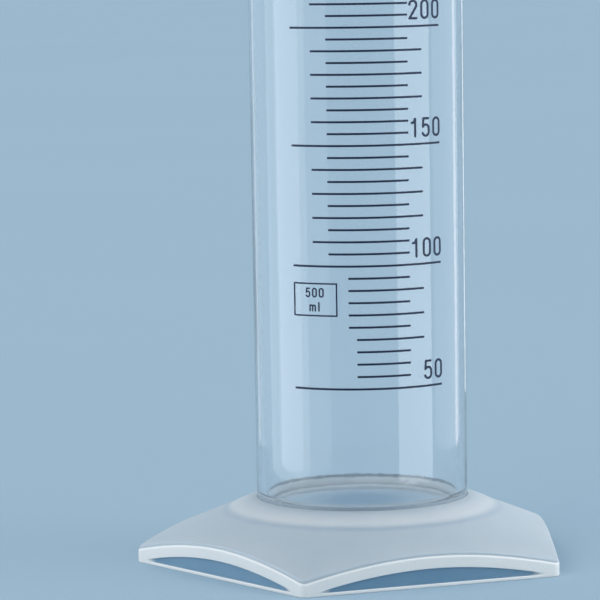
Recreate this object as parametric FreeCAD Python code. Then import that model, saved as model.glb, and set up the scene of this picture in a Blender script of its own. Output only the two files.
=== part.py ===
import FreeCAD, Part
import math
import os

# Graduated measuring cylinder, tall form, 500 ml, in clear plastic with a five-sided frosted foot.
# Millimetres. +Z is up. The origin is on the tube's axis, on the table under the foot.
# The scale faces -Y and the pouring spout points to -X, over one corner of the foot.

Vector = FreeCAD.Vector
ORIGIN = Vector(0, 0, 0)
UP = Vector(0, 0, 1)

# ---------------------------------------------------------------- driving dimensions
TOTAL_HEIGHT = 360.0         # table to rim
CAPACITY_ML = 500
CUBIC_MM_PER_ML = 1000.0

# clear tube
TUBE_RADIUS = 25.35          # outside radius where the tube leaves the foot
OUTER_DRAFT = 0.0018         # growth of the outside radius per mm of height
WALL_AT_FLOOR = 2.35
WALL_AT_RIM = 1.35
WALL_EVEN_HEIGHT = 125.0     # above this height the wall keeps its rim thickness
FLOOR_TOP = 14.4
FLOOR_THICKNESS = 2.4
FLOOR_FILLET = 2.6
SKIRT_BOTTOM = 8.0           # the tube's skirt stands in the foot's channel
SKIRT_INNER_RADIUS = 23.0

# pouring spout and rim
SPOUT_HEIGHT = 17.0          # the spout starts this far below the rim
SPOUT_TIP_REACH = 36.3       # axis to the outside of the spout's tip
SPOUT_TIP_ROUND = 2.2        # outside radius of the tip
SPOUT_ROOT_ANGLE = 4.0       # half width of the spout's keel where it starts, degrees
BEAD_HEIGHT = 2.4
BEAD_PROUD = 0.4
BEAD_ROUND = 0.35

# frosted foot: a low cone cut by five upright sides, hollow underneath
FOOT_SIDES = 5
FOOT_APOTHEM = 44.2          # axis to the middle of a side
FOOT_TOP = 15.5              # the cone meets the tube here
FOOT_SLOPE = 0.404           # fall of the cone per mm of radius
FOOT_EDGE_ROUND = 2.0        # arched edges and upright corners alike
LIP_DEPTH = 3.5              # upright lip under the arched edge
PANEL_RECESS = 0.5           # each side is set back below its lip
GROUND_RIM = 0.8             # rim along the table, below the set-back panel
COLLAR_RISE = 0.14           # low swelling of the cone round the tube
COLLAR_START = 25.9          # it rises out of the cone at this radius
COLLAR_SHOULDER = 27.4
COLLAR_TOP = 31.0            # it keeps its full rise out to here
COLLAR_EDGE = 33.0           # it has sunk back into the cone here
SHELL_DROP = 2.4             # cone shell, measured upright
SIDE_WALL = 2.7
CUT_MARGIN = 1.0             # cutting shapes reach this far outside what they cut

# channel and socket in the foot for the tube's skirt
SEAT_CLEARANCE = 0.05
SEAT_GAP = 0.02
HUB_BOTTOM = 6.0
HUB_OUTER_RADIUS = 27.9
HUB_FLARE_RADIUS = 31.0
HUB_FLARE_DROP = 3.0
HUB_RECESS_RADIUS = 20.6
HUB_RECESS_TOP = 9.9

# printed scale
INK_GAP = 0.02
INK_THICKNESS = 0.08
LINE_HEIGHT = 0.5
FIRST_MARK_ML = 50
NUMBERED_STEP_ML = 50
LONG_STEP_ML = 10
SHORT_STEP_ML = 5
# angles round the tube in degrees, from -Y towards +X
NUMBERED_SPAN = (-40.3, 45.5)
LONG_SPAN = (-28.2, 33.0)
SHORT_SPAN = (-19.5, 24.4)
LOW_SPAN_START = -9.1        # between 70 and 100 ml the lines make room for the capacity frame
LOWEST_SPAN_START = -4.9     # up to 70 ml
LOW_LIMIT_ML = 100
LOWEST_LIMIT_ML = 70

# lettering
DIGIT_HEIGHT = 4.62
DIGIT_PITCH = 3.32
DIGIT_STROKE = 0.56
NUMERAL_LIFT = 1.52          # above its line
NUMERAL_RIGHT = 45.6         # angle of the right-hand edge of every numeral
UNIT_HEIGHT = 3.6
UNIT_LIFT = 8.6              # above the top line
UNIT_GAP = 0.8
FRAME_SPAN = (-40.3, -15.0)
FRAME_BOTTOM_ML = 79.4
FRAME_HEIGHT = 7.9
FRAME_STROKE = 0.36
FRAME_TEXT_HEIGHT = 2.3
FRAME_TEXT_STROKE = 0.36
FRAME_TEXT_GAP = 0.45
FRAME_ROW_GAP = 1.0

# letter forms are drawn on this grid, along the middle of the stroke
GRID_HEIGHT = 4.3
GRID_WIDTH = 2.0
GLYPH_DEPTH = 4.0            # flat glyphs are this thick before the ink's layer is cut out of them
SLEEVE_MARGIN = 1.0


# ---------------------------------------------------------------- small helpers
def revolve(points_and_arcs):
    """Solid of revolution about Z of a closed outline in (radius, height)."""
    edges = []
    for step in points_and_arcs:
        corners = [Vector(r, 0, z) for r, z in step]
        if len(corners) == 2:
            edges.append(Part.LineSegment(*corners).toShape())
        else:
            edges.append(Part.Arc(*corners).toShape())
    return Part.Face(Part.Wire(edges)).revolve(ORIGIN, UP, 360)


def closed(points):
    """The straight steps round a list of (radius, height) points."""
    return list(zip(points, points[1:] + points[:1]))


def around(radius, degrees, z):
    """Point on the tube at an angle from -Y towards +X."""
    turn = math.radians(degrees)
    return Vector(radius * math.sin(turn), -radius * math.cos(turn), z)


# ---------------------------------------------------------------- the tube's radii and levels
def tube_radius(z):
    return TUBE_RADIUS + OUTER_DRAFT * (z - FOOT_TOP)


def wall(z):
    rise_left = max(0.0, WALL_EVEN_HEIGHT - z) / (WALL_EVEN_HEIGHT - FLOOR_TOP)
    return WALL_AT_RIM + (WALL_AT_FLOOR - WALL_AT_RIM) * rise_left


def bore_radius(z):
    return tube_radius(z) - wall(z)


def frustum(z_low, z_high):
    r_low = bore_radius(z_low)
    r_high = bore_radius(z_high)
    return math.pi * (z_high - z_low) * (r_low ** 2 + r_low * r_high + r_high ** 2) / 3.0


def contents_ml(z):
    """Volume held up to height z, in millilitres."""
    corner = (1.0 - math.pi / 4.0) * FLOOR_FILLET ** 2
    lost = corner * 2.0 * math.pi * bore_radius(FLOOR_TOP)
    knee = min(z, WALL_EVEN_HEIGHT)
    volume = frustum(FLOOR_TOP, knee) + frustum(knee, z) - lost
    return volume / CUBIC_MM_PER_ML


def level(millilitres):
    """Height of the surface of a volume of liquid, found by halving."""
    low, high = FLOOR_TOP, TOTAL_HEIGHT
    while high - low > 1e-6:
        middle = (low + high) / 2.0
        if contents_ml(middle) < millilitres:
            low = middle
        else:
            high = middle
    return low


# ---------------------------------------------------------------- tube with spout
def polar(centre_x, radius, degrees, z):
    turn = math.radians(degrees)
    return Vector(centre_x + radius * math.cos(turn), radius * math.sin(turn), z)


def arc_edge(centre_x, radius, start, end, z):
    ends = [polar(centre_x, radius, a, z) for a in (start, (start + end) / 2.0, end)]
    return Part.Arc(*ends).toShape()


def spout_half_angle():
    """From the tip's direction to where the rim leaves its circle, in degrees."""
    run = SPOUT_TIP_REACH - SPOUT_TIP_ROUND
    return math.degrees(math.acos((tube_radius(TOTAL_HEIGHT) - SPOUT_TIP_ROUND) / run))


def rim_wire(radius, z):
    """Rim outline: most of a circle, and two tangents that meet in a rounded tip towards -X."""
    leave = 180.0 - spout_half_angle()
    back = 180.0 + spout_half_angle()
    centre = SPOUT_TIP_ROUND - SPOUT_TIP_REACH
    tip = radius - tube_radius(TOTAL_HEIGHT) + SPOUT_TIP_ROUND
    return Part.Wire([
        arc_edge(0, radius, back - 360.0, leave, z),
        Part.LineSegment(polar(0, radius, leave, z), polar(centre, tip, leave, z)).toShape(),
        arc_edge(centre, tip, leave, back, z),
        Part.LineSegment(polar(centre, tip, back, z), polar(0, radius, back, z)).toShape(),
    ])


def circle_wire(radius, z):
    """Circle split at the same four places as the rim outline."""
    leave = 180.0 - spout_half_angle()
    back = 180.0 + spout_half_angle()
    stops = [back - 360.0, leave, 180.0 - SPOUT_ROOT_ANGLE, 180.0 + SPOUT_ROOT_ANGLE, back]
    return Part.Wire([arc_edge(0, radius, a, b, z) for a, b in zip(stops, stops[1:])])


def measuring_tube():
    start = TOTAL_HEIGHT - SPOUT_HEIGHT
    bead_bottom = TOTAL_HEIGHT - BEAD_HEIGHT
    floor_bottom = FLOOR_TOP - FLOOR_THICKNESS
    barrel = revolve(closed([
        (0, floor_bottom), (SKIRT_INNER_RADIUS, floor_bottom), (SKIRT_INNER_RADIUS, SKIRT_BOTTOM),
        (tube_radius(SKIRT_BOTTOM), SKIRT_BOTTOM), (tube_radius(start), start), (0, start)]))
    spout = Part.makeLoft([circle_wire(tube_radius(start), start),
                           rim_wire(tube_radius(TOTAL_HEIGHT), TOTAL_HEIGHT)], True, True)
    bead_outline = Part.Face(rim_wire(tube_radius(TOTAL_HEIGHT) + BEAD_PROUD, bead_bottom))
    bead = bead_outline.extrude(UP * BEAD_HEIGHT)
    round_edges = [e for e in bead.Edges if e.BoundBox.ZLength < 1e-6]
    bead = bead.makeFillet(BEAD_ROUND, round_edges)

    fillet_start = bore_radius(FLOOR_TOP + FLOOR_FILLET)
    fillet_mid = FLOOR_FILLET * (1.0 - math.sqrt(0.5))
    bore_steps = [
        [(0, FLOOR_TOP), (fillet_start - FLOOR_FILLET, FLOOR_TOP)],
        [(fillet_start - FLOOR_FILLET, FLOOR_TOP), (fillet_start - fillet_mid, FLOOR_TOP + fillet_mid),
         (fillet_start, FLOOR_TOP + FLOOR_FILLET)],
        [(fillet_start, FLOOR_TOP + FLOOR_FILLET), (bore_radius(WALL_EVEN_HEIGHT), WALL_EVEN_HEIGHT)],
        [(bore_radius(WALL_EVEN_HEIGHT), WALL_EVEN_HEIGHT), (bore_radius(start), start)],
        [(bore_radius(start), start), (0, start)],
        [(0, start), (0, FLOOR_TOP)],
    ]
    bore = revolve(bore_steps)
    mouth = Part.makeLoft([circle_wire(bore_radius(start), start),
                           rim_wire(bore_radius(TOTAL_HEIGHT), TOTAL_HEIGHT)], True, True)
    return barrel.fuse([spout, bead]).cut([bore, mouth]).removeSplitter()


# ---------------------------------------------------------------- frosted foot
def cone_height(radius, drop=0.0):
    return FOOT_TOP - drop - FOOT_SLOPE * (radius - TUBE_RADIUS)


def cone(drop):
    """The foot's cone, lowered by drop, as a solid down to the table."""
    top = FOOT_TOP - drop
    edge = TUBE_RADIUS + top / FOOT_SLOPE
    return revolve(closed([(0, 0), (edge, 0), (TUBE_RADIUS, top), (0, top)]))


def prism(apothem, bottom=0.0):
    """Upright five-sided prism with one corner towards -X."""
    radius = apothem / math.cos(math.pi / FOOT_SIDES)
    turns = [180.0 + 360.0 * i / FOOT_SIDES for i in range(FOOT_SIDES + 1)]
    outline = Part.makePolygon([polar(0, radius, a, bottom) for a in turns])
    return Part.Face(outline).extrude(UP * (FOOT_TOP - bottom))


def foot_block():
    """Cone and prism together, with the arched edges and the upright corners rounded."""
    block = cone(0).common(prism(FOOT_APOTHEM))
    beyond_tube = [e for e in block.Edges
                   if math.hypot(e.CenterOfMass.x, e.CenterOfMass.y) > TUBE_RADIUS]
    off_table = [e for e in beyond_tube if e.BoundBox.ZMax > GROUND_RIM]
    return block.makeFillet(FOOT_EDGE_ROUND, off_table)


def collar():
    """The swelling round the tube, which reaches as far below the cone's surface as it stands above it."""
    outline = [
        (2 * COLLAR_START - COLLAR_SHOULDER, -COLLAR_RISE), (COLLAR_SHOULDER, COLLAR_RISE),
        (COLLAR_TOP, COLLAR_RISE), (2 * COLLAR_EDGE - COLLAR_TOP, -COLLAR_RISE)]
    return revolve(closed([(radius, cone_height(radius) + rise) for radius, rise in outline]))


def side_panels():
    """What is taken off the five sides, below the lip and above the rim on the table."""
    outside = cone(LIP_DEPTH).common(prism(FOOT_APOTHEM + CUT_MARGIN, GROUND_RIM))
    return outside.cut(prism(FOOT_APOTHEM - PANEL_RECESS))


def hub():
    """What stays solid round the channel when the foot is hollowed."""
    flare_low = cone_height(HUB_OUTER_RADIUS, SHELL_DROP) - HUB_FLARE_DROP
    flare_top = cone_height(HUB_FLARE_RADIUS, SHELL_DROP)
    return revolve(closed([
        (0, HUB_RECESS_TOP), (HUB_RECESS_RADIUS, HUB_RECESS_TOP), (HUB_RECESS_RADIUS, HUB_BOTTOM),
        (HUB_OUTER_RADIUS, HUB_BOTTOM), (HUB_OUTER_RADIUS, flare_low),
        (HUB_FLARE_RADIUS, flare_top), (HUB_FLARE_RADIUS, FOOT_TOP), (0, FOOT_TOP)]))


def pentagon_foot():
    hollow = cone(SHELL_DROP).common(prism(FOOT_APOTHEM - SIDE_WALL)).cut(hub())
    socket_radius = tube_radius(FOOT_TOP) + SEAT_CLEARANCE
    boss_radius = SKIRT_INNER_RADIUS - SEAT_CLEARANCE
    boss_top = FLOOR_TOP - FLOOR_THICKNESS - SEAT_GAP
    socket = revolve(closed([
        (0, boss_top), (boss_radius, boss_top), (boss_radius, SKIRT_BOTTOM),
        (socket_radius, SKIRT_BOTTOM), (socket_radius, FOOT_TOP + CUT_MARGIN),
        (0, FOOT_TOP + CUT_MARGIN)]))
    return foot_block().fuse(collar()).cut([side_panels(), hollow, socket])


# ---------------------------------------------------------------- printed lines
def printed_band(span, z_low, z_high):
    """Thin piece of ink on the tube, between two angles and two heights."""
    inner = INK_GAP
    outer = INK_GAP + INK_THICKNESS
    corners = [around(tube_radius(z) + lift, span[0], z)
               for lift, z in ((inner, z_low), (outer, z_low), (outer, z_high), (inner, z_high))]
    section = Part.Face(Part.makePolygon(corners + corners[:1]))
    return section.revolve(ORIGIN, UP, span[1] - span[0])


def printed_line(millilitres, span):
    z = level(millilitres)
    return printed_band(span, z - LINE_HEIGHT / 2.0, z + LINE_HEIGHT / 2.0)


def span_of(millilitres):
    """Where a line starts and ends, from its volume."""
    if millilitres % NUMBERED_STEP_ML == 0:
        return NUMBERED_SPAN
    start, end = SHORT_SPAN
    if millilitres % LONG_STEP_ML == 0:
        start = LONG_SPAN[0]
        beside_numeral = millilitres % NUMBERED_STEP_ML == LONG_STEP_ML
        end = SHORT_SPAN[1] if beside_numeral else LONG_SPAN[1]
    if millilitres < LOW_LIMIT_ML:
        start = LOWEST_SPAN_START if millilitres <= LOWEST_LIMIT_ML else LOW_SPAN_START
    return start, end


def printed_lines(step, coarser_step):
    """All the lines of one step that aren't also lines of the coarser step."""
    lines = []
    for millilitres in range(FIRST_MARK_ML, CAPACITY_ML + 1, step):
        if coarser_step is None or millilitres % coarser_step:
            lines.append(printed_line(millilitres, span_of(millilitres)))
    return Part.makeCompound(lines)


# ---------------------------------------------------------------- lettering
def bar(start, end):
    return ("bar", start, end)


def bow(centre, radius, first, last):
    """Arc of a stroke, anticlockwise from one angle to the other, in degrees."""
    return ("bow", centre, radius, first, last)


TOP = GRID_HEIGHT
WIDE = GRID_WIDTH
HALF = GRID_WIDTH / 2.0

GLYPHS = {
    "0": [bow((HALF, TOP - HALF), HALF, 0, 180), bow((HALF, HALF), HALF, 180, 360),
          bar((0, HALF), (0, TOP - HALF)), bar((WIDE, HALF), (WIDE, TOP - HALF))],
    "1": [bar((1.3, 0), (1.3, TOP)), bar((0.35, 0.78 * TOP), (0.85, 0.79 * TOP)),
          bar((0.85, 0.79 * TOP), (1.3, TOP))],
    "2": [bow((HALF, TOP - HALF), HALF, -32, 175), bar((1.85, 0.64 * TOP), (0, 0)),
          bar((0, 0), (WIDE, 0))],
    "3": [bow((HALF, TOP - 0.95), 0.95, -90, 160), bow((HALF, 1.4), HALF, 0, 90),
          bar((WIDE, 1.4), (WIDE, HALF)), bow((HALF, HALF), HALF, -165, 0)],
    "4": [bar((1.55, 0), (1.55, TOP)), bar((1.55, TOP), (0, 1.25)), bar((0, 1.25), (2.1, 1.25))],
    "5": [bar((1.8, TOP), (0.3, TOP)), bar((0.3, TOP), (0.13, 2.25)),
          bow((HALF, 1.75), HALF, 0, 150), bar((WIDE, 1.75), (WIDE, HALF)),
          bow((HALF, HALF), HALF, -160, 0)],
    "m": [bar((0, 0), (0, 2.9)), bow((0.75, 2.15), 0.75, 0, 180), bar((1.5, 0), (1.5, 2.15)),
          bow((2.25, 2.15), 0.75, 0, 180), bar((3.0, 0), (3.0, 2.15))],
    "l": [bar((0.25, 0), (0.25, TOP))],
}
GLYPH_WIDTHS = {"m": 3.0, "l": 0.5}


def glyph_scale(height, stroke):
    return (height - stroke) / GRID_HEIGHT


def glyph_width(glyph, height, stroke):
    """Over the outsides of the strokes."""
    return GLYPH_WIDTHS.get(glyph, GRID_WIDTH) * glyph_scale(height, stroke) + stroke


def degrees_round(length, z):
    """Angle that a length takes up round the tube."""
    return math.degrees(length / tube_radius(z))


def disc(x, y, radius, depth):
    return Part.makeCylinder(radius, depth, Vector(x, y, 0))


def stroke_solids(glyph, scale, stroke, depth):
    """One glyph's strokes with round ends, flat on XY, and depth thick."""
    half = stroke / 2.0
    pieces = []
    for mark in GLYPHS[glyph]:
        if mark[0] == "bar":
            (x0, y0), (x1, y1) = [(x * scale, y * scale) for x, y in mark[1:]]
            length = math.hypot(x1 - x0, y1 - y0)
            box = Part.makeBox(length, stroke, depth, Vector(0, -half, 0))
            box.rotate(ORIGIN, UP, math.degrees(math.atan2(y1 - y0, x1 - x0)))
            box.translate(Vector(x0, y0, 0))
            pieces += [box, disc(x0, y0, half, depth), disc(x1, y1, half, depth)]
        else:
            cx, cy, radius = [v * scale for v in (mark[1][0], mark[1][1], mark[2])]
            sweep = mark[4] - mark[3]
            ring = Part.makeCylinder(radius + half, depth, ORIGIN, UP, sweep)
            ring = ring.cut(Part.makeCylinder(radius - half, depth, ORIGIN, UP, 360))
            ring.rotate(ORIGIN, UP, mark[3])
            ring.translate(Vector(cx, cy, 0))
            pieces.append(ring)
            for end in mark[3:]:
                turn = math.radians(end)
                pieces.append(disc(cx + radius * math.cos(turn), cy + radius * math.sin(turn), half, depth))
    return pieces


def ink_sleeve(z_low, z_high):
    """The thin tapered layer in which all lettering lies."""
    return revolve(closed([
        (tube_radius(z_low) + INK_GAP, z_low), (tube_radius(z_low) + INK_GAP + INK_THICKNESS, z_low),
        (tube_radius(z_high) + INK_GAP + INK_THICKNESS, z_high), (tube_radius(z_high) + INK_GAP, z_high)]))


def printed_glyph(glyph, degrees, z, height, stroke):
    """One glyph, centred at an angle on the tube and standing at height z."""
    solids = stroke_solids(glyph, glyph_scale(height, stroke), stroke, GLYPH_DEPTH)
    flat = solids[0].multiFuse(solids[1:]).removeSplitter()
    left = glyph_width(glyph, height, stroke) / 2.0 - stroke / 2.0
    flat.translate(Vector(-left, stroke / 2.0, 0))
    flat.rotate(ORIGIN, Vector(1, 0, 0), 90)
    flat.translate(Vector(0, -tube_radius(z) + GLYPH_DEPTH / 2.0, z))
    flat.rotate(ORIGIN, UP, degrees)
    return flat.common(ink_sleeve(z - SLEEVE_MARGIN, z + height + SLEEVE_MARGIN))


def printed_text(text, right_edge, z, height, stroke, gap):
    """A row of glyphs, set from the right edge towards the left."""
    glyphs = []
    edge = right_edge
    for glyph in reversed(text):
        width = glyph_width(glyph, height, stroke)
        middle = edge - degrees_round(width / 2.0, z)
        glyphs.append(printed_glyph(glyph, middle, z, height, stroke))
        edge -= degrees_round(width + gap, z)
    return glyphs


def numeral(millilitres):
    gap = DIGIT_PITCH - glyph_width("0", DIGIT_HEIGHT, DIGIT_STROKE)
    z = level(millilitres) + NUMERAL_LIFT
    return Part.makeCompound(
        printed_text(str(millilitres), NUMERAL_RIGHT, z, DIGIT_HEIGHT, DIGIT_STROKE, gap))


def unit_mark():
    z = level(CAPACITY_ML) + UNIT_LIFT
    return Part.makeCompound(
        printed_text("ml", NUMERAL_RIGHT, z, UNIT_HEIGHT, DIGIT_STROKE, UNIT_GAP))


def capacity_frame():
    """Ring of ink round the capacity text, made as one piece."""
    low = level(FRAME_BOTTOM_ML)
    high = low + FRAME_HEIGHT
    side = degrees_round(FRAME_STROKE, low)
    left, right = FRAME_SPAN
    sheet = printed_band(FRAME_SPAN, low, high)
    inside = tube_radius(low) - SLEEVE_MARGIN
    outside = tube_radius(high) + SLEEVE_MARGIN
    window_low = low + FRAME_STROKE
    window_high = high - FRAME_STROKE
    window_corners = [around(r, left + side, z) for r, z in (
        (inside, window_low), (outside, window_low), (outside, window_high), (inside, window_high))]
    window = Part.Face(Part.makePolygon(window_corners + window_corners[:1]))
    return sheet.cut(window.revolve(ORIGIN, UP, right - left - 2.0 * side))


def centred_text(text, centre, z, height, stroke, gap):
    widths = [glyph_width(glyph, height, stroke) for glyph in text]
    total = sum(widths) + gap * (len(text) - 1)
    right_edge = centre + degrees_round(total / 2.0, z)
    return printed_text(text, right_edge, z, height, stroke, gap)


def capacity_text():
    middle = sum(FRAME_SPAN) / 2.0
    centre_z = level(FRAME_BOTTOM_ML) + FRAME_HEIGHT / 2.0
    upper = centre_z + FRAME_ROW_GAP / 2.0
    lower = centre_z - FRAME_ROW_GAP / 2.0 - FRAME_TEXT_HEIGHT
    rows = []
    for text, z in ((str(CAPACITY_ML), upper), ("ml", lower)):
        rows += centred_text(text, middle, z, FRAME_TEXT_HEIGHT, FRAME_TEXT_STROKE, FRAME_TEXT_GAP)
    return Part.makeCompound(rows)


# ---------------------------------------------------------------- write every piece
def all_parts():
    parts = {
        "measuring_tube": measuring_tube(),
        "pentagon_foot": pentagon_foot(),
        "marks_every_50ml": printed_lines(NUMBERED_STEP_ML, None),
        "marks_every_10ml": printed_lines(LONG_STEP_ML, NUMBERED_STEP_ML),
        "marks_every_5ml": printed_lines(SHORT_STEP_ML, LONG_STEP_ML),
        "capacity_frame": capacity_frame(),
        "capacity_text": capacity_text(),
        "unit_mark": unit_mark(),
    }
    for millilitres in range(NUMBERED_STEP_ML, CAPACITY_ML + 1, NUMBERED_STEP_ML):
        parts["numeral_%03d" % millilitres] = numeral(millilitres)
    return parts


def main():
    os.makedirs("parts", exist_ok=True)
    for name, shape in all_parts().items():
        box = shape.BoundBox
        print("%-18s solids %3d valid %s volume %9.2f  z %.2f to %.2f" % (
            name, len(shape.Solids), shape.isValid(), shape.Volume, box.ZMin, box.ZMax))
        shape.exportStep("parts/%s.step" % name)
    for millilitres in (50, 100, 200, CAPACITY_ML):
        print("level of %d ml: %.2f" % (millilitres, level(millilitres)))


main()
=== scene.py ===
import bmesh
import bpy
import math
from mathutils import Matrix, Vector


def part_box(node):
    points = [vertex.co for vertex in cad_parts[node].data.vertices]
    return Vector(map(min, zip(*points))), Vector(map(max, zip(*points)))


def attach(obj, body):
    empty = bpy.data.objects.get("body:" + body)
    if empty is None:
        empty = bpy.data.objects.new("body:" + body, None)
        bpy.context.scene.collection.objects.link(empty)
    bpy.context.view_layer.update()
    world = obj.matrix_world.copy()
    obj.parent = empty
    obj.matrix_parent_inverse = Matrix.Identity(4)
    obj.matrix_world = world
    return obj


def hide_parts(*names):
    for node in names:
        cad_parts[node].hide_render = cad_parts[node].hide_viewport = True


# Graduated measuring cylinder: clear tube, frosted five-sided foot, printed scale.
# Lengths are in millimetres until they reach a mesh. Materials, lamps and the camera are in metres.
# The frame is the CAD model's: +Z up, the scale towards -Y, the spout towards -X.

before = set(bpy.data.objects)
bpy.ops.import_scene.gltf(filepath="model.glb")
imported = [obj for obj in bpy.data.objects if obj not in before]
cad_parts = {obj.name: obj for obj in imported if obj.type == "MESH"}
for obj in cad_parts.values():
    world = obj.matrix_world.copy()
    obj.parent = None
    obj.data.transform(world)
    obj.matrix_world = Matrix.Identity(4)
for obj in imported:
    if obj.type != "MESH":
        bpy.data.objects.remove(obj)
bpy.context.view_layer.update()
MM = 0.001

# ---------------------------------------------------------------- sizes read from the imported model
tube_low, tube_high = [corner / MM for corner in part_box("measuring_tube")]
foot_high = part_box("pentagon_foot")[1] / MM
TOP = tube_high.z
SKIRT_BOTTOM = tube_low.z
FOOT_TOP = foot_high.z
APOTHEM = foot_high.x

# ---------------------------------------------------------------- tube
BEAD_PROUD = 0.4                      # rim bead beyond the barrel
BEAD_HEIGHT = 2.4
OUTER_DRAFT = 0.0018                  # the outside loses this per millimetre down from the rim
RIM_RADIUS = tube_high.y - BEAD_PROUD
WALL_AT_FLOOR = 2.35
WALL_AT_RIM = 1.35
WALL_EVEN_HEIGHT = 125.0              # above here the wall is as thick as at the rim
FLOOR_TOP = 14.4                      # inside of the tube
FLOOR_BOTTOM = 12.0
FLOOR_FILLET = 2.6
SKIRT_INNER_RADIUS = 23.0             # the skirt goes down from the floor into the foot
SPOUT_START = TOP - 17.0
SPOUT_REACH = -tube_low.x - BEAD_PROUD
SPOUT_TIP_ROUND = 2.2
SPOUT_ROOT_ANGLE = 4.0                # degrees to each side of the spout that run up into its tip
SPOUT_ROOT_EASE = 0.1                 # how softly the spout leaves the barrel
BOND_BELOW_FLOOR = 0.5                # the roughened, bonded surface starts this far down the floor
BOND_BELOW_FOOT_TOP = 0.15            # outside, it starts this far below the top of the foot
SPOUT_STEP = 0.7                      # longest face up the spout
BARREL_STEP = 8.0                     # longest face up the barrel

# ---------------------------------------------------------------- foot
FOOT_SIDES = 5
HALF_TURN = math.pi / FOOT_SIDES
FOOT_SLOPE = 0.404                    # fall of the cone per millimetre outwards
CORNER_ROUND = 2.0                    # corners of the pentagon, from above
SMALLEST_CORNER_ROUND = 0.6
SHOULDER_ROUND = 0.7                  # where the cone turns down into the lip
LIP_CREASE_DEPTH = 0.6                # the lip stands out from this far below the shoulder
LIP_BULGE = 0.28                      # and by this much
LIP_ROUND = 0.9
LIP_DEPTH = 3.5                       # height of the lip along each arch
PANEL_RECESS = 0.5                    # side panels are set back under the lip
PANEL_LEAST_HEIGHT = 0.3              # lower than this the side is solid
PANEL_EASE = 0.6                      # the panel reaches its full depth over this height
GROUND_RIM = 0.8                      # height of the rim on the table
SHELL_DROP = 2.4                      # the underside lies this far below the cone
SIDE_WALL = 2.7
SOCKET_CLEARANCE = 0.05
SEAT_GAP = 0.02                       # between the floor of the tube and the boss
COLLAR_RISE = 0.14                    # low swelling of the cone round the tube
COLLAR_START = 25.9                   # it rises out of the cone at this radius
COLLAR_SHOULDER = 27.4
COLLAR_TOP = 31.0                     # it keeps its full rise out to here
COLLAR_EDGE = 33.0                    # it has sunk back into the cone here
COLLAR_SHADE_END = 34.5               # its milkier tint, painted highlight and painted shadow line have gone here
HUB_BOTTOM = 6.0                      # lower face of the foot's thick middle
HUB_OUTER_RADIUS = 27.9
HUB_FLARE_RADIUS = 31.0
HUB_START_RADIUS = 32.5               # the plain underside ends here
HUB_FLARE_DROP = 3.0
HUB_RECESS_RADIUS = 20.6
HUB_RECESS_TOP = 9.9                  # top of the round hollow in its middle
CONE_INSET = 6.0                      # the section of the wall starts this far in on the cone
UNDERSIDE_INSET = 9.0                 # and ends this far in under it
COLLAR_STEPS = 24
CONE_STEPS = 20
UNDERSIDE_STEPS = 10

# ---------------------------------------------------------------- how thick the frosted plastic is, with painted light and shade
# From 0, thin, to 1, thick. The foot's material is milkier where it is thick, and the same values paint
# highlights on the lip, the rim on the table and the collar, and shade in the panels and at the collar's
# edge.
# The list goes with the corners of the section of the wall, and the panel's corners turn to 1 where the side
# is solid.
TOP_THICKNESS = 0.25
HUB_THICKNESS = 0.8
COLLAR_INNER_THICKNESS = 0.27
# The collar is milkier over the hub and has a painted highlight at the hub's edge. Just outside it is a
# painted shadow line, darker than the cone.
COLLAR_HUB_AND_PAINTED_HIGHLIGHT = 0.5
COLLAR_EDGE_PAINTED_SHADOW = 0.19
# The lip and the rim on the table are set to 1, partly for thick plastic and partly as a painted highlight.
# The set-back panels are 0, painted shade of the hollow behind them.
SECTION_THICKNESS_AND_PAINTED_LIGHT = [TOP_THICKNESS, 0.3, 0.6, 1.0, 1.0, 0.0, 0.0, 1.0, 1.0, 0.6, 0.4, TOP_THICKNESS]
PANEL_CORNERS = (5, 6)

# ---------------------------------------------------------------- printed scale
INK_LOW = 0.02                        # inner side of the ink, above the surface of the tube
INK_HIGH = 0.1                        # and its outer side
INK_EDGE_DROP = 0.03                  # bands of ink thin by this much towards their edges
INK_SOFT_EDGE = 0.06                  # over this width
FRAME_STROKE = 0.36                   # width of the line round the capacity text
STEP_TURN = math.radians(1.0)         # longest face of a band of ink


# ---------------------------------------------------------------- small geometry helpers
def tube_radius(z):
    return RIM_RADIUS - OUTER_DRAFT * (TOP - z)


def bore_radius(z):
    rise_left = max(0.0, WALL_EVEN_HEIGHT - z) / (WALL_EVEN_HEIGHT - FLOOR_TOP)
    return tube_radius(z) - WALL_AT_RIM - (WALL_AT_FLOOR - WALL_AT_RIM) * rise_left


def between(a, b, share):
    return a + (b - a) * share


def step_between(value, low, high):
    """Smooth step from 0 at low to 1 at high."""
    share = min(1.0, max(0.0, (value - low) / (high - low)))
    return share * share * (3.0 - 2.0 * share)


def rounded(corners, steps=6):
    """Outline through corners (across, up, radius), with an arc of steps + 1 points at each inner corner."""
    points = [Vector(corners[0][:2])]
    for before, corner, after in zip(corners, corners[1:], corners[2:]):
        here = Vector(corner[:2])
        back = Vector(before[:2]) - here
        ahead = Vector(after[:2]) - here
        half = back.angle(ahead, math.pi) / 2.0
        run = min(corner[2] / max(math.tan(half), 1e-6), 0.48 * back.length, 0.48 * ahead.length)
        start = here + back.normalized() * run
        end = here + ahead.normalized() * run
        bulge = math.cos(half)
        for i in range(steps + 1):
            share = i / steps
            weight = 2.0 * bulge * share * (1.0 - share)
            total = (1.0 - share) ** 2 + share ** 2 + weight
            points.append((start * (1.0 - share) ** 2 + end * share ** 2 + here * weight) / total)
    return points + [Vector(corners[-1][:2])]


def divided(points, longest):
    """The same outline with its long runs cut into shorter ones."""
    result = [points[0]]
    for a, b in zip(points, points[1:]):
        cuts = max(1, math.ceil((b - a).length / longest((a + b) / 2.0)))
        result += [between(a, b, i / cuts) for i in range(1, cuts + 1)]
    return result


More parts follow.
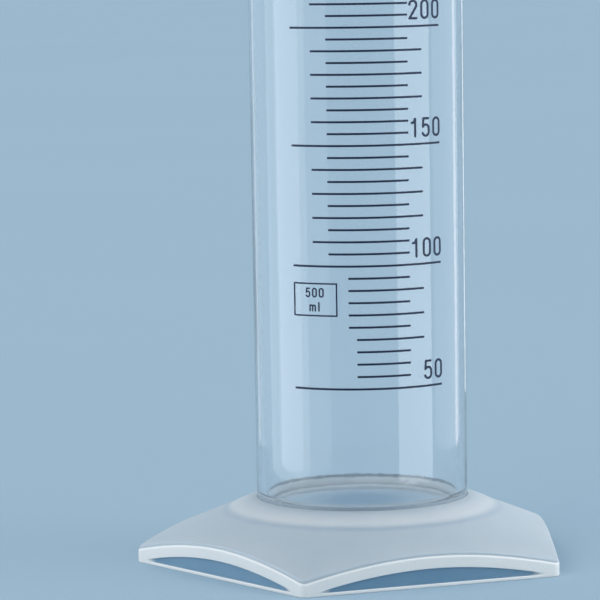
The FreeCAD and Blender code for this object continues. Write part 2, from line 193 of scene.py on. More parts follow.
def ring_mesh(name, rings, first_centre, last_centre):
    """Closed mesh from rings of points in millimetres and the middles of its two ends."""
    count = len(rings[0])
    vertices = [Vector(p) * MM for ring in rings for p in ring]
    faces = []
    for row in range(len(rings) - 1):
        low = row * count
        high = low + count
        for i in range(count):
            j = (i + 1) % count
            faces.append((low + i, low + j, high + j, high + i))
    for centre, start in ((first_centre, 0), (last_centre, (len(rings) - 1) * count)):
        vertices.append(Vector(centre) * MM)
        middle = len(vertices) - 1
        faces += [(start + i, start + (i + 1) % count, middle) for i in range(count)]
    return make_object(name, vertices, faces)


def make_object(name, vertices, faces):
    mesh = bpy.data.meshes.new(name)
    mesh.from_pydata([tuple(v) for v in vertices], [], faces)
    shell = bmesh.new()
    shell.from_mesh(mesh)
    bmesh.ops.recalc_face_normals(shell, faces=shell.faces)
    shell.to_mesh(mesh)
    shell.free()
    mesh.shade_smooth()
    piece = bpy.data.objects.new(name, mesh)
    bpy.context.scene.collection.objects.link(piece)
    return piece


def even_normals(piece):
    """Flat faces keep flat shading up to their rounded edges."""
    modifier = piece.modifiers.new("even_normals", "WEIGHTED_NORMAL")
    modifier.weight = 80
    return piece


# ---------------------------------------------------------------- tube mesh
def spout_half_angle():
    return math.acos((RIM_RADIUS - SPOUT_TIP_ROUND) / (SPOUT_REACH - SPOUT_TIP_ROUND))


def towards_spout(angle):
    """Direction at an angle from -X."""
    return Vector((-math.cos(angle), math.sin(angle), 0.0))


def tube_stations(arc_steps=232, side_steps=34, tip_steps=20):
    """One for each point round the tube: its direction from the axis, and its place on the rim by radius."""
    half = spout_half_angle()
    root = math.radians(SPOUT_ROOT_ANGLE)
    tip_centre = towards_spout(0.0) * (SPOUT_REACH - SPOUT_TIP_ROUND)

    def on_tip(direction, radius):
        return tip_centre + direction * (radius - RIM_RADIUS + SPOUT_TIP_ROUND)

    def round_part(share):
        turn = towards_spout(between(half, 2.0 * math.pi - half, share))
        return turn, lambda radius: turn * radius

    def straight_side(sign, share):
        side = towards_spout(sign * half)
        turn = towards_spout(sign * between(half, root, share))
        return turn, lambda radius: between(side * radius, on_tip(side, radius), share)

    def tip(share):
        direction = towards_spout(between(-half, half, share))
        turn = towards_spout(between(-root, root, share))
        return turn, lambda radius: on_tip(direction, radius)

    stations = [round_part(i / arc_steps) for i in range(arc_steps)]
    stations += [straight_side(-1, i / side_steps) for i in range(side_steps)]
    stations += [tip(i / tip_steps) for i in range(tip_steps)]
    stations += [straight_side(1, 1.0 - i / side_steps) for i in range(side_steps)]
    return stations


def spout_share(z):
    """0 where the tube is round, 1 at the rim."""
    rise = max(0.0, (z - SPOUT_START) / (TOP - SPOUT_START))
    ease = SPOUT_ROOT_EASE
    return (math.hypot(rise, ease) - ease) / (math.hypot(1.0, ease) - ease)


def tube_profile():
    bead_low = TOP - BEAD_HEIGHT
    corners = [
        (0.0, FLOOR_BOTTOM, 0.0),
        (SKIRT_INNER_RADIUS, FLOOR_BOTTOM, 0.6),
        (SKIRT_INNER_RADIUS, SKIRT_BOTTOM, 0.3),
        (tube_radius(SKIRT_BOTTOM), SKIRT_BOTTOM, 0.3),
        (tube_radius(bead_low), bead_low - 0.3, 0.3),
        (tube_radius(bead_low) + BEAD_PROUD, bead_low, 0.5),
        (tube_radius(TOP) + BEAD_PROUD, TOP, 0.6),
        (bore_radius(TOP), TOP, 0.5),
        (bore_radius(WALL_EVEN_HEIGHT), WALL_EVEN_HEIGHT, 20.0),
        (bore_radius(FLOOR_TOP), FLOOR_TOP, FLOOR_FILLET),
        (0.0, FLOOR_TOP, 0.0),
    ]

    def longest_run(middle):
        return SPOUT_STEP if middle.y > SPOUT_START - 1.0 else BARREL_STEP

    return divided(rounded(corners), longest_run)


def measuring_tube():
    stations = tube_stations()
    profile = tube_profile()[1:-1]
    rings = []
    for radius, z in profile:
        share = spout_share(z)
        ring = []
        for turn, on_rim in stations:
            place = turn * radius
            if share > 0.0:
                place = between(place, on_rim(radius), share)
            ring.append((place.x, place.y, z))
        rings.append(ring)
    piece = ring_mesh("measuring_tube_moulding", rings, (0, 0, FLOOR_BOTTOM), (0, 0, FLOOR_TOP))
    middle_of_skirt = (SKIRT_INNER_RADIUS + tube_radius(FOOT_TOP)) / 2.0
    for face in piece.data.polygons:
        height = face.center.z / MM
        outside = face.center.to_2d().length / MM > middle_of_skirt
        in_socket = outside and height < FOOT_TOP - BOND_BELOW_FOOT_TOP
        if in_socket or height < FLOOR_TOP - BOND_BELOW_FLOOR:
            face.material_index = 1
    return even_normals(piece)


# ---------------------------------------------------------------- foot mesh
def cone_height(radius, drop=0.0):
    return FOOT_TOP - drop - FOOT_SLOPE * (radius - tube_radius(FOOT_TOP) - SOCKET_CLEARANCE)


def foot_stations(side_steps=44, corner_steps=14):
    """Round the pentagon: for each station the side's or corner's direction and the share along it."""
    stations = []
    for side in range(FOOT_SIDES):
        facing = math.pi + HALF_TURN * (2 * side + 1)
        stations += [(facing, i / side_steps, "side") for i in range(side_steps)]
        stations += [(facing + HALF_TURN, i / corner_steps, "corner") for i in range(corner_steps)]
    return stations


def outline_point(station, inset):
    """Point of the pentagon's outline, inset from its wall, with rounded corners."""
    direction, share, kind = station
    apothem = APOTHEM - inset
    corner_round = max(CORNER_ROUND - inset, SMALLEST_CORNER_ROUND)
    if kind == "side":
        half_side = (apothem - corner_round) * math.tan(HALF_TURN)
        along = between(-half_side, half_side, share)
        ahead = Vector((math.cos(direction), math.sin(direction), 0.0))
        return ahead * apothem + Vector((-ahead.y, ahead.x, 0.0)) * along
    centre = (apothem - corner_round) / math.cos(HALF_TURN)
    turn = direction + between(-HALF_TURN, HALF_TURN, share)
    to_corner = Vector((math.cos(direction), math.sin(direction), 0.0))
    return to_corner * centre + Vector((math.cos(turn), math.sin(turn), 0.0)) * corner_round


def panel_share(lip_low):
    """1 where a side is fully set back under its lip, 0 at the solid corners."""
    lowest = GROUND_RIM + PANEL_LEAST_HEIGHT
    return step_between(lip_low, lowest, lowest + PANEL_EASE)


def foot_section(station):
    """Section through the rim of the foot at one station, from the cone round the wall to the underside."""
    def cone_over(inset, drop=0.0):
        return cone_height(outline_point(station, inset).length, drop)

    edge = cone_over(0.0)
    lip_low = max(edge - LIP_DEPTH, GROUND_RIM + 0.06)
    recess = max(PANEL_RECESS * panel_share(lip_low), 0.01)
    corners = [
        (CONE_INSET, cone_over(CONE_INSET), 0.0),
        (LIP_BULGE, edge + 0.05, SHOULDER_ROUND),
        (LIP_BULGE, edge - LIP_CREASE_DEPTH, 0.08),
        (0.0, edge - LIP_CREASE_DEPTH - LIP_BULGE, LIP_ROUND),
        (0.0, lip_low, LIP_ROUND),
        (recess, lip_low - 0.02, 0.12),
        (recess, GROUND_RIM + 0.02, 0.12),
        (0.0, GROUND_RIM, 0.2),
        (0.0, 0.0, 0.25),
        (SIDE_WALL, 0.0, 0.3),
        (SIDE_WALL, cone_over(SIDE_WALL, SHELL_DROP), 1.0),
        (UNDERSIDE_INSET, cone_over(UNDERSIDE_INSET, SHELL_DROP), 0.0),
    ]
    return rounded(corners)


def collar_height(radius):
    """Low swelling of the cone round the tube."""
    outer_side = 1.0 - step_between(radius, COLLAR_TOP, COLLAR_EDGE)
    return COLLAR_RISE * step_between(radius, COLLAR_START, COLLAR_SHOULDER) * outer_side


def collar_thickness_and_painted_light(radius):
    """The cone is backed by the hub near the tube, most at the hub's outer edge, which also carries a
    painted highlight; just past the edge the value drops below the cone's as a painted shadow line.
    """
    to_top = step_between(radius, COLLAR_START, COLLAR_TOP)
    to_edge = step_between(radius, COLLAR_TOP, COLLAR_EDGE)
    to_cone = step_between(radius, COLLAR_EDGE, COLLAR_SHADE_END)
    thickness = between(COLLAR_INNER_THICKNESS, COLLAR_HUB_AND_PAINTED_HIGHLIGHT, to_top)
    thickness = between(thickness, COLLAR_EDGE_PAINTED_SHADOW, to_edge)
    return between(thickness, TOP_THICKNESS, to_cone)


def hub_profile():
    """Underside of the foot's middle, from the flare to the axis."""
    flare_top = cone_height(HUB_FLARE_RADIUS, SHELL_DROP)
    flare_low = cone_height(HUB_OUTER_RADIUS, SHELL_DROP) - HUB_FLARE_DROP
    return rounded([
        (HUB_START_RADIUS, cone_height(HUB_START_RADIUS, SHELL_DROP), 0.0),
        (HUB_FLARE_RADIUS, flare_top, 1.0),
        (HUB_OUTER_RADIUS, flare_low, 0.8),
        (HUB_OUTER_RADIUS, HUB_BOTTOM, 0.4),
        (HUB_RECESS_RADIUS, HUB_BOTTOM, 0.4),
        (HUB_RECESS_RADIUS, HUB_RECESS_TOP, 0.6),
        (0.0, HUB_RECESS_TOP, 0.0),
    ])


def socket_profile():
    """Channel and boss that take the tube's skirt, from the axis out to the top of the cone."""
    wall_radius = tube_radius(FOOT_TOP) + SOCKET_CLEARANCE
    boss_radius = SKIRT_INNER_RADIUS - SOCKET_CLEARANCE
    return rounded([
        (0.0, FLOOR_BOTTOM - SEAT_GAP, 0.0),
        (boss_radius, FLOOR_BOTTOM - SEAT_GAP, 0.4),
        (boss_radius, SKIRT_BOTTOM, 0.3),
        (wall_radius, SKIRT_BOTTOM, 0.3),
        (wall_radius, cone_height(wall_radius), 0.3),
        (wall_radius + 0.5, cone_height(wall_radius + 0.5), 0.0),
    ])


class FootShell:
    """Rings of points round the foot, and how thick the plastic is at each point."""

    def __init__(self, stations):
        self.stations = stations
        self.directions = [outline_point(station, CONE_INSET).normalized() for station in stations]
        self.rings = []
        self.thickness = []

    def add_ring(self, points, values):
        self.rings.append(points)
        self.thickness += values

    def add_circle(self, radius, z, value):
        points = [(d.x * radius, d.y * radius, z) for d in self.directions]
        self.add_ring(points, [value] * len(points))

    def add_cone_ring(self, places, drop, value):
        points = [(p.x, p.y, cone_height(p.to_2d().length, drop)) for p in places]
        self.add_ring(points, [value] * len(points))

    def add_socket_and_collar(self):
        """From the boss under the tube's floor up the socket and out over the collar."""
        socket = socket_profile()
        for radius, z in socket[1:]:
            self.add_circle(radius, z, collar_thickness_and_painted_light(radius))
        for step in range(1, COLLAR_STEPS + 1):
            radius = between(socket[-1].x, COLLAR_SHADE_END, step / COLLAR_STEPS)
            self.add_circle(radius, cone_height(radius) + collar_height(radius), collar_thickness_and_painted_light(radius))

    def add_cone(self):
        """From the collar out to where the section of the wall begins."""
        ends = [outline_point(station, CONE_INSET) for station in self.stations]
        for step in range(1, CONE_STEPS):
            share = step / CONE_STEPS
            places = [between(d * COLLAR_SHADE_END, end, share) for d, end in zip(self.directions, ends)]
            self.add_cone_ring(places, 0.0, TOP_THICKNESS)

    def add_wall(self):
        """Over the lip, down the panels to the rim on the table, and up the inside."""
        sections = [foot_section(station) for station in self.stations]
        arc_points = (len(sections[0]) - 2) // (len(SECTION_THICKNESS_AND_PAINTED_LIGHT) - 2)
        panel_middle = PANEL_CORNERS[0] * arc_points
        for index in range(len(sections[0])):
            corner = (index + arc_points - 1) // arc_points
            points = []
            values = []
            for station, section in zip(self.stations, sections):
                inset, z = section[index]
                place = outline_point(station, inset)
                points.append((place.x, place.y, z))
                solid = 1.0 - min(1.0, section[panel_middle].x / PANEL_RECESS)
                values.append(solid if corner in PANEL_CORNERS else SECTION_THICKNESS_AND_PAINTED_LIGHT[corner])
            self.add_ring(points, values)

    def add_underside(self):
        """From the inside of the wall in under the cone, and over the hub to its recess."""
        hub = hub_profile()
        starts = [Vector(point) for point in self.rings[-1]]
        for step in range(1, UNDERSIDE_STEPS):
            share = step / UNDERSIDE_STEPS
            places = [between(start, d * hub[0].x, share) for d, start in zip(self.directions, starts)]
            self.add_cone_ring(places, SHELL_DROP, TOP_THICKNESS)
        for radius, z in hub[:-1]:
            self.add_circle(radius, z, HUB_THICKNESS)


def pentagon_foot():
    shell = FootShell(foot_stations())
    shell.add_socket_and_collar()
    shell.add_cone()
    shell.add_wall()
    shell.add_underside()
    end_centres = ((0, 0, FLOOR_BOTTOM - SEAT_GAP), (0, 0, HUB_RECESS_TOP))
    piece = ring_mesh("pentagon_foot_moulding", shell.rings, *end_centres)
    values = shell.thickness + [HUB_THICKNESS] * len(end_centres)
    piece.data.attributes.new("thickness", "FLOAT", "POINT").data.foreach_set("value", values)
    return even_normals(piece)


# ---------------------------------------------------------------- printed lines
def islands(node):
    """The separate solids of a CAD node, each as a list of its points in millimetres."""
    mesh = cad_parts[node].data
    parent = list(range(len(mesh.vertices)))

    def root(i):
        while parent[i] != i:
            parent[i] = parent[parent[i]]
            i = parent[i]
        return i

    at = {}
    for vertex in mesh.vertices:
        key = tuple(round(c / MM, 3) for c in vertex.co)
        parent[vertex.index] = at.setdefault(key, vertex.index)
    for edge in mesh.edges:
        parent[root(edge.vertices[0])] = root(edge.vertices[1])
    groups = {}
    for vertex in mesh.vertices:
        groups.setdefault(root(vertex.index), []).append(vertex.co / MM)
    return list(groups.values())


def turn_of(point):
    """Angle round the tube, from -Y towards +X."""
    return math.atan2(point.x, -point.y)


def around(radius, turn, z):
    return Vector((radius * math.sin(turn), -radius * math.cos(turn), z))


def band_rings(start, end, low, high):
    """Sections along a band of ink: a flat strip with softened long edges."""
    soft = min(INK_SOFT_EDGE, (high - low) / 4.0)
    shape = [(INK_LOW, low), (INK_HIGH - INK_EDGE_DROP, low), (INK_HIGH, low + soft),
             (INK_HIGH, high - soft), (INK_HIGH - INK_EDGE_DROP, high), (INK_LOW, high)]
    steps = max(2, math.ceil((end - start) / STEP_TURN))
    return [[around(tube_radius(z) + lift, between(start, end, i / steps), z) for lift, z in shape]
            for i in range(steps + 1)]


def add_band(vertices, faces, rings):
    base = len(vertices)
    count = len(rings[0])
    vertices += [p * MM for ring in rings for p in ring]
    for row in range(len(rings) - 1):
        for i in range(count):
            j = (i + 1) % count
            a = base + row * count
            faces.append((a + i, a + j, a + count + j, a + count + i))
    last = base + (len(rings) - 1) * count
    faces.append(tuple(base + i for i in reversed(range(count))))
    faces.append(tuple(last + i for i in range(count)))


def printed_lines(node):
    """The same lines as the CAD node's, finely divided round the tube."""
    vertices, faces = [], []
    for points in sorted(islands(node), key=lambda ps: min(p.z for p in ps)):
        turns = [turn_of(p) for p in points]
        heights = [p.z for p in points]
        add_band(vertices, faces, band_rings(min(turns), max(turns), min(heights), max(heights)))
    return make_object(node + "_ink", vertices, faces)


def printed_frame(node):
    """Four bands round the capacity text, as one ring of ink."""
    points = islands(node)[0]
    turns = [turn_of(p) for p in points]
    heights = [p.z for p in points]
    left, right, low, high = min(turns), max(turns), min(heights), max(heights)
    side = FRAME_STROKE / tube_radius(low)
    columns = [left, left + side]
    steps = math.ceil((right - left) / STEP_TURN)
    columns += [between(left + side, right - side, i / steps) for i in range(1, steps)]
    columns += [right - side, right]
    rows = [low, low + FRAME_STROKE, high - FRAME_STROKE, high]
    vertices = []
    for lift in (INK_LOW, INK_HIGH):
        vertices += [around(tube_radius(z) + lift, turn, z) * MM for z in rows for turn in columns]
    width = len(columns)
    level = width * len(rows)

    def corner(row, column, lifted):
        return row * width + column + (level if lifted else 0)

    faces = []
    cells = [(r, c) for r in range(3) for c in range(width - 1) if r != 1 or c in (0, width - 2)]
    filled = set(cells)
    for r, c in cells:
        outer = tuple(corner(r + up, c + along, True) for up, along in ((0, 0), (0, 1), (1, 1), (1, 0)))
        faces.append(outer)
        faces.append(tuple(v - level for v in reversed(outer)))
        for (dr, dc), (a, b) in (((-1, 0), (0, 1)), ((0, 1), (1, 2)), ((1, 0), (2, 3)), ((0, -1), (3, 0))):
            if (r + dr, c + dc) not in filled:
                faces.append((outer[b], outer[a], outer[a] - level, outer[b] - level))
    return make_object(node + "_ink", vertices, faces)


# ---------------------------------------------------------------- materials
CLEAR_PLASTIC_IOR = 1.463
FROSTED_PLASTIC_IOR = 1.49


def new_material(name):
    material = bpy.data.materials.new(name)
    material.use_nodes = True
    nodes = material.node_tree.nodes
    links = material.node_tree.links
    shader = nodes["Principled BSDF"]
    return material, nodes, links, shader


def noise(nodes, links, scale, detail, roughness=0.5, squash=1.0):
    """Noise in object space. Scale is in features per metre, and squash below 1 draws them out upwards."""
    place = nodes.new("ShaderNodeTexCoord")
    mapping = nodes.new("ShaderNodeMapping")
    mapping.inputs["Scale"].default_value = (1.0, 1.0, squash)
    texture = nodes.new("ShaderNodeTexNoise")
    texture.inputs["Scale"].default_value = scale
    texture.inputs["Detail"].default_value = detail
    texture.inputs["Roughness"].default_value = roughness
    links.new(place.outputs["Object"], mapping.inputs["Vector"])
    links.new(mapping.outputs["Vector"], texture.inputs["Vector"])
    return texture.outputs["Fac"]


def ramp(nodes, links, value, *stops):
    """Value to a colour, through stops of (position, colour)."""
    node = nodes.new("ShaderNodeValToRGB")
    elements = node.color_ramp.elements
    for index, (position, colour) in enumerate(stops):
        element = elements[index] if index < len(elements) else elements.new(position)
        element.position = position
        element.color = (*colour, 1.0)
    links.new(value, node.inputs["Fac"])
    return node.outputs["Color"]


def span(nodes, links, value, low, high):
    """Value from 0..1 to low..high."""
    node = nodes.new("ShaderNodeMapRange")
    node.inputs["To Min"].default_value = low
    node.inputs["To Max"].default_value = high
    links.new(value, node.inputs["Value"])
    return node.outputs["Result"]


def bump(nodes, links, height, distance, strength, normal=None):
    node = nodes.new("ShaderNodeBump")
    node.inputs["Distance"].default_value = distance
    node.inputs["Strength"].default_value = strength
    links.new(height, node.inputs["Height"])
    if normal is not None:
        links.new(normal, node.inputs["Normal"])
    return node.outputs["Normal"]


def multiplied(nodes, links, one, other):
    node = nodes.new("ShaderNodeMix")
    node.data_type = "RGBA"
    node.blend_type = "MULTIPLY"
    node.inputs["Factor"].default_value = 1.0
    links.new(one, node.inputs["A"])
    links.new(other, node.inputs["B"])
    return node.outputs["Result"]


def let_light_through(nodes, links, shader, tint):
    """Lamps shine through the clear plastic on what is behind it."""
    path = nodes.new("ShaderNodeLightPath")
    open_way = nodes.new("ShaderNodeBsdfTransparent")
    open_way.inputs["Color"].default_value = (*tint, 1.0)
    mix = nodes.new("ShaderNodeMixShader")
    links.new(path.outputs["Is Shadow Ray"], mix.inputs["Fac"])
    links.new(shader.outputs["BSDF"], mix.inputs[1])
    links.new(open_way.outputs["BSDF"], mix.inputs[2])
    links.new(mix.outputs["Shader"], nodes["Material Output"].inputs["Surface"])


def clear_plastic():
    material, nodes, links, shader = new_material("clear_polymethylpentene")
    shader.inputs["Transmission Weight"].default_value = 0.985
    shader.inputs["IOR"].default_value = CLEAR_PLASTIC_IOR
    flow = noise(nodes, links, 60.0, 2.0, squash=0.25)
    skin = noise(nodes, links, 700.0, 2.0)
    tint = ramp(nodes, links, flow, (0.3, (0.955, 0.975, 0.99)), (0.7, (0.985, 0.992, 1.0)))
    links.new(tint, shader.inputs["Base Color"])
    links.new(span(nodes, links, skin, 0.02, 0.06), shader.inputs["Roughness"])
    waves = bump(nodes, links, flow, 0.0004, 0.25)
    links.new(bump(nodes, links, skin, 0.00002, 0.5, waves), shader.inputs["Normal"])
    let_light_through(nodes, links, shader, (0.93, 0.96, 0.98))
    return material


def place_in_tube(nodes, links):
    """Distance from the axis, 1 at the tube's outside, and height in the socket, 1 at the foot's top."""
    place = nodes.new("ShaderNodeTexCoord")
    split = nodes.new("ShaderNodeSeparateXYZ")
    links.new(place.outputs["Object"], split.inputs["Vector"])
    flat = nodes.new("ShaderNodeCombineXYZ")
    links.new(split.outputs["X"], flat.inputs["X"])
    links.new(split.outputs["Y"], flat.inputs["Y"])
    length = nodes.new("ShaderNodeVectorMath")
    length.operation = "LENGTH"
    links.new(flat.outputs["Vector"], length.inputs[0])
    outwards = nodes.new("ShaderNodeMapRange")
    outwards.inputs["From Max"].default_value = tube_radius(FOOT_TOP) * MM
    links.new(length.outputs["Value"], outwards.inputs["Value"])
    upwards = nodes.new("ShaderNodeMapRange")
    upwards.inputs["From Min"].default_value = SKIRT_BOTTOM * MM
    upwards.inputs["From Max"].default_value = FOOT_TOP * MM
    links.new(split.outputs["Z"], upwards.inputs["Value"])
    return outwards.outputs["Result"], upwards.outputs["Result"]


def bonded_plastic():
    """Roughened underside of the tube, bonded into the foot: bluer in the middle, with painted shade along
    its top edge for the gap where the tube enters the foot.
    """
    material, nodes, links, shader = new_material("bonded_underside")
    shader.inputs["IOR"].default_value = CLEAR_PLASTIC_IOR
    outwards, upwards = place_in_tube(nodes, links)
    cloud = noise(nodes, links, 160.0, 4.0)
    disc = ramp(nodes, links, outwards, (0.0, (0.11, 0.25, 0.40)), (0.25, (0.15, 0.28, 0.42)),
                (0.6, (0.50, 0.59, 0.65)), (0.9, (0.70, 0.75, 0.77)))
    # Painted shade: a dark band where the bond ends, for the shaded gap between the tube and the foot.
    painted_gap_shade = ramp(nodes, links, upwards, (0.94, (1.0, 1.0, 1.0)), (0.975, (0.38, 0.43, 0.48)))
    patches = ramp(nodes, links, cloud, (0.3, (0.86, 0.89, 0.92)), (0.7, (1.0, 1.0, 1.0)))
    tint = multiplied(nodes, links, multiplied(nodes, links, disc, painted_gap_shade), patches)
    links.new(tint, shader.inputs["Base Color"])
    links.new(span(nodes, links, cloud, 0.5, 0.65), shader.inputs["Roughness"])
    return material


def frosted_plastic():
    """Milky where it is thick, greyer and more see-through where it is thin; the same ramp paints dark blue
    shade in the panels and a bright highlight on the lip, the rim and the collar.
    """
    material, nodes, links, shader = new_material("frosted_polypropylene")
    shader.inputs["IOR"].default_value = FROSTED_PLASTIC_IOR
    shader.inputs["Subsurface Weight"].default_value = 0.5
    shader.inputs["Subsurface Radius"].default_value = (1.0, 1.0, 1.0)
    shader.inputs["Subsurface Scale"].default_value = 0.0015
    shader.inputs["Sheen Weight"].default_value = 0.35
    shader.inputs["Sheen Roughness"].default_value = 0.35
    thickness = nodes.new("ShaderNodeAttribute")
    thickness.attribute_name = "thickness"
    grain = noise(nodes, links, 2600.0, 3.0)
    cloud = noise(nodes, links, 90.0, 3.0)
    # Dark blue at 0 is painted shade in the panels. Near-white at 1 is painted highlight on the lip and rim,
    # as well as milky thick plastic.
    body = ramp(nodes, links, thickness.outputs["Fac"],
                (0.0, (0.18, 0.36, 0.52)), (0.25, (0.45, 0.53, 0.595)), (1.0, (0.78, 0.77, 0.75)))
    patches = ramp(nodes, links, cloud, (0.3, (0.94, 0.96, 0.97)), (0.7, (1.0, 1.0, 1.0)))
    links.new(multiplied(nodes, links, body, patches), shader.inputs["Base Color"])
    links.new(span(nodes, links, thickness.outputs["Fac"], 0.3, 0.0), shader.inputs["Transmission Weight"])
    links.new(span(nodes, links, grain, 0.42, 0.62), shader.inputs["Roughness"])
    links.new(bump(nodes, links, grain, 0.00006, 0.6), shader.inputs["Normal"])
    return material


def printing_ink():
    material, nodes, links, shader = new_material("blue_black_ink")
    shader.inputs["Specular IOR Level"].default_value = 0.25
    cover = noise(nodes, links, 1500.0, 3.0, 0.6)
    tint = ramp(nodes, links, cover, (0.3, (0.004, 0.010, 0.028)), (0.7, (0.012, 0.024, 0.06)))
    links.new(tint, shader.inputs["Base Color"])
    links.new(span(nodes, links, cover, 0.4, 0.65), shader.inputs["Roughness"])
    links.new(bump(nodes, links, cover, 0.00001, 0.6), shader.inputs["Normal"])
    return material


def dress(piece, slot, *finishes):
    if len(piece.data.materials) > 0:
        piece.data.materials.clear()
    for material in finishes:
        piece.data.materials.append(material)


# ---------------------------------------------------------------- build the object
clear = clear_plastic()
bonded = bonded_plastic()
frosted = frosted_plastic()
ink = printing_ink()

tube = measuring_tube()
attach(tube, "root")
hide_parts("measuring_tube")
dress(tube, "clear_tube", clear, bonded)

foot = pentagon_foot()
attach(foot, "root")
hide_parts("pentagon_foot")
dress(foot, "frosted_foot", frosted)

printed = {node: printed_lines(node) for node in ("marks_every_50ml", "marks_every_10ml", "marks_every_5ml")}
printed["capacity_frame"] = printed_frame("capacity_frame")
for node, piece in printed.items():
    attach(piece, "root")
    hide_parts(node)
    dress(piece, "scale_ink", ink)

lettering = [piece for name, piece in sorted(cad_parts.items())
             if name.startswith("numeral_") or name in ("capacity_text", "unit_mark")]
for piece in lettering:
    dress(piece, "scale_ink", ink)


# ---------------------------------------------------------------- floor, light and camera
FLOOR_HALF_SIZE = 12.0
SUN_WIDTH = math.radians(50.0)
PALE = (0.96, 0.98, 1.0)
WHITE = (1.0, 1.0, 1.0)
WARM = (1.0, 0.90, 0.82)
PINK = (1.0, 0.86, 0.82)

# Panels mirrored in the tube: degrees round from the camera, distance, width, watts and colour
MIRRORED_PANEL_HEIGHT = 0.8
MIRRORED_PANELS = {
    "left_softbox": (-80.0, 0.15, 0.15, 0.5, PALE),
    "left_softbox_edge": (-62.0, 0.16, 0.20, 0.45, PALE),
    "left_softbox_core": (-76.0, 0.17, 0.09, 0.35, PALE),
    "left_veil": (-125.0, 0.2, 0.134, 0.13, PALE),
    "left_glow": (-142.0, 0.2, 0.025, 0.02, WARM),
    "right_softbox": (58.0, 0.15, 0.108, 0.85, PALE),
    "right_veil": (107.0, 0.2, 0.17, 0.35, PALE),
    "right_glow": (122.0, 0.2, 0.02, 0.09, PINK),
    "right_edge": (158.0, 0.3, 0.03, 0.09, WHITE),
}
# Panels that light the foot from the sides and don't show in the tube
SIDE_PANEL_HEIGHT = 0.3
SIDE_PANELS = {
    "left_side": (-100.0, 0.16, 0.12, 0.08, PALE),
    "right_side": (90.0, 0.16, 0.12, 0.22, PALE),
}

# Camera: degrees, metres, and the lens in millimetres on a 36 mm sensor
CAMERA_AZIMUTH = -3.34
CAMERA_DISTANCE = 0.8991
CAMERA_HEIGHT = 0.16206
CAMERA_PITCH = 6.311
CAMERA_YAW = -0.909
CAMERA_ROLL = 0.886
CAMERA_LENS = 226.26


def floor():
    mesh = bpy.data.meshes.new("studio_floor")
    signs = ((-1, -1), (1, -1), (1, 1), (-1, 1))
    corners = [(x * FLOOR_HALF_SIZE, y * FLOOR_HALF_SIZE, 0.0) for x, y in signs]
    mesh.from_pydata(corners, [], [(0, 1, 2, 3)])
    piece = bpy.data.objects.new("studio_floor", mesh)
    bpy.context.scene.collection.objects.link(piece)
    material, nodes, links, shader = new_material("pale_floor")
    cloud = noise(nodes, links, 3.0, 2.0)
    tint = ramp(nodes, links, cloud, (0.3, (0.405, 0.555, 0.670)), (0.7, (0.413, 0.563, 0.678)))
    links.new(tint, shader.inputs["Base Color"])
    shader.inputs["Roughness"].default_value = 0.9
    shader.inputs["Specular IOR Level"].default_value = 0.0
    mesh.materials.append(material)


def round_camera(azimuth, distance, height):
    """Place at an azimuth from the camera's own, towards the right, round the tube."""
    turn = math.radians(CAMERA_AZIMUTH + azimuth)
    return Vector((distance * math.sin(turn), -distance * math.cos(turn), height))


def aim_lamp(name, light, place, target):
    lamp = bpy.data.objects.new(name, light)
    lamp.location = place
    lamp.rotation_mode = "QUATERNION"
    lamp.rotation_quaternion = (Vector(target) - place).to_track_quat("-Z", "Y")
    lamp.visible_camera = False
    bpy.context.scene.collection.objects.link(lamp)
    return lamp


def soft_sun(name, azimuth, elevation, power):
    """Very large far lamp, so that the floor is lit evenly all over."""
    light = bpy.data.lights.new(name, "SUN")
    light.angle = SUN_WIDTH
    light.energy = power
    place = round_camera(azimuth, 1.0, math.tan(math.radians(elevation)))
    lamp = aim_lamp(name, light, place, (0.0, 0.0, 0.0))
    lamp.visible_glossy = False
    lamp.visible_transmission = False


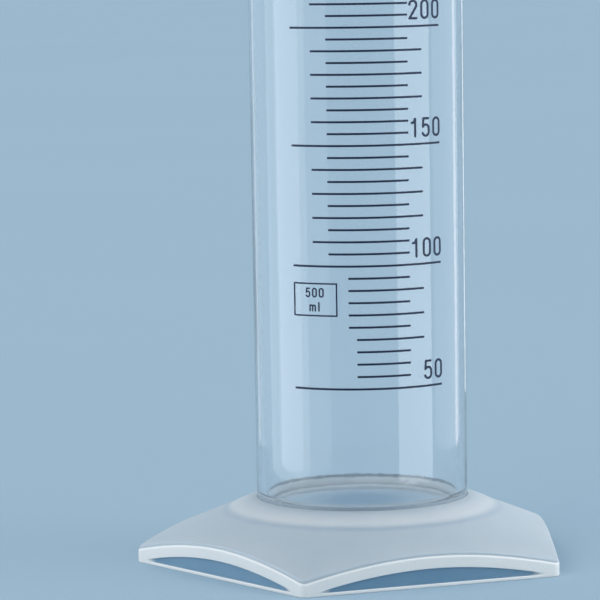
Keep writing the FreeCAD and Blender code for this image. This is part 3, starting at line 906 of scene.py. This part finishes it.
def softbox(name, height, lit, azimuth, distance, width, power, colour):
    """Upright panel of light that stands beside the object and lights only the pieces in a collection."""
    light = bpy.data.lights.new(name, "AREA")
    light.shape = "RECTANGLE"
    light.size = width
    light.size_y = height
    light.energy = power
    light.color = colour
    middle = height / 2.0
    lamp = aim_lamp(name, light, round_camera(azimuth, distance, middle), (0.0, 0.0, middle))
    lamp.visible_transmission = False
    lamp.light_linking.receiver_collection = lit
    return lamp


def surroundings():
    """Pale walls as the floor, under a white ceiling."""
    world = bpy.data.worlds.new("studio")
    world.use_nodes = True
    nodes = world.node_tree.nodes
    links = world.node_tree.links
    place = nodes.new("ShaderNodeTexCoord")
    split = nodes.new("ShaderNodeSeparateXYZ")
    links.new(place.outputs["Generated"], split.inputs["Vector"])
    sky = ramp(nodes, links, split.outputs["Z"], (0.2, (0.34, 0.49, 0.62)), (0.6, (0.64, 0.67, 0.70)))
    links.new(sky, nodes["Background"].inputs["Color"])
    bpy.context.scene.world = world


def studio():
    surroundings()
    soft_sun("key", -45.0, 28.0, 1.0)
    soft_sun("fill", 75.0, 22.0, 0.6)
    pieces = bpy.data.collections.new("lit_by_softboxes")
    for piece in [tube, foot, *printed.values(), *lettering]:
        pieces.objects.link(piece)
    for name, panel in MIRRORED_PANELS.items():
        softbox(name, MIRRORED_PANEL_HEIGHT, pieces, *panel).visible_diffuse = False
    for name, panel in SIDE_PANELS.items():
        softbox(name, SIDE_PANEL_HEIGHT, pieces, *panel).visible_glossy = False


def camera():
    """Long lens, a little above the foot, aimed just beside the axis and slightly rolled."""
    data = bpy.data.cameras.new("camera")
    data.sensor_width = 36.0
    data.lens = CAMERA_LENS
    data.clip_start = 0.05
    data.clip_end = 50.0
    piece = bpy.data.objects.new("camera", data)
    bpy.context.scene.collection.objects.link(piece)
    turn = Matrix.Rotation(math.radians(CAMERA_AZIMUTH), 4, "Z")
    aim = Matrix.Rotation(math.radians(-CAMERA_YAW), 4, "Z")
    tilt = Matrix.Rotation(math.radians(90.0 - CAMERA_PITCH), 4, "X")
    roll = Matrix.Rotation(math.radians(-CAMERA_ROLL), 4, "Z")
    place = Matrix.Translation((0.0, -CAMERA_DISTANCE, CAMERA_HEIGHT))
    piece.matrix_world = turn @ place @ aim @ tilt @ roll
    bpy.context.scene.camera = piece


floor()
studio()
camera()
bpy.context.scene.view_settings.view_transform = "Standard"
